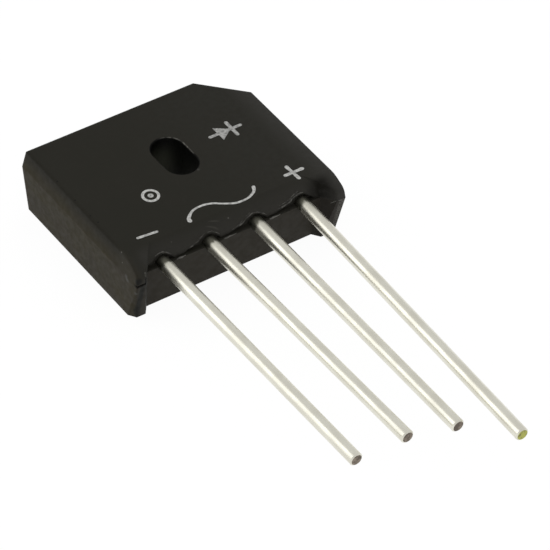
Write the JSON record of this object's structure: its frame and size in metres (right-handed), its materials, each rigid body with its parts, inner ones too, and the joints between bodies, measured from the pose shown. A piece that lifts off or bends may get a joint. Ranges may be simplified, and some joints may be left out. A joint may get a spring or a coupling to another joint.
{
  "type": "bridge rectifier",
  "caption": "Flat black moulded in-line bridge rectifier with a bolt slot, a clipped plus-side corner, standoff feet and a row of round wire leads.",
  "frame": {"origin": "centre of the bolt slot on the back face of the case", "axes": "+Z from the back face to the marked face; +Y away from the leads; +X along the row of leads from minus to plus"},
  "size_m": [0.023, 0.0523, 0.0069],
  "materials": {
    "moulded_epoxy": "satin black moulding compound with fine grain",
    "plated_lead": "silver-plated copper wire, warm and slightly drawn",
    "copper_strap": "bare copper",
    "silicon": "dark grey polished silicon",
    "solder": "dull grey solder",
    "marking_ink": "light grey printing ink"
  },
  "bodies": {
    "root": {"moulded_body": "moulded_epoxy", "lead_minus": "plated_lead", "lead_ac_left": "plated_lead", "lead_ac_right": "plated_lead", "lead_plus": "plated_lead", "minus_strap": "copper_strap", "plus_strap": "copper_strap", "chip_minus_left": "silicon", "chip_minus_right": "silicon", "chip_plus_left": "silicon", "chip_plus_right": "silicon", "solder_minus_strap_left": "solder", "solder_minus_strap_right": "solder", "solder_plus_strap_left": "solder", "solder_plus_strap_right": "solder", "solder_upper_paddle_left": "solder", "solder_upper_paddle_right": "solder", "solder_lower_paddle_left": "solder", "solder_lower_paddle_right": "solder", "solder_minus_lead": "solder", "solder_plus_lead": "solder"}
  },
  "joints": []
}
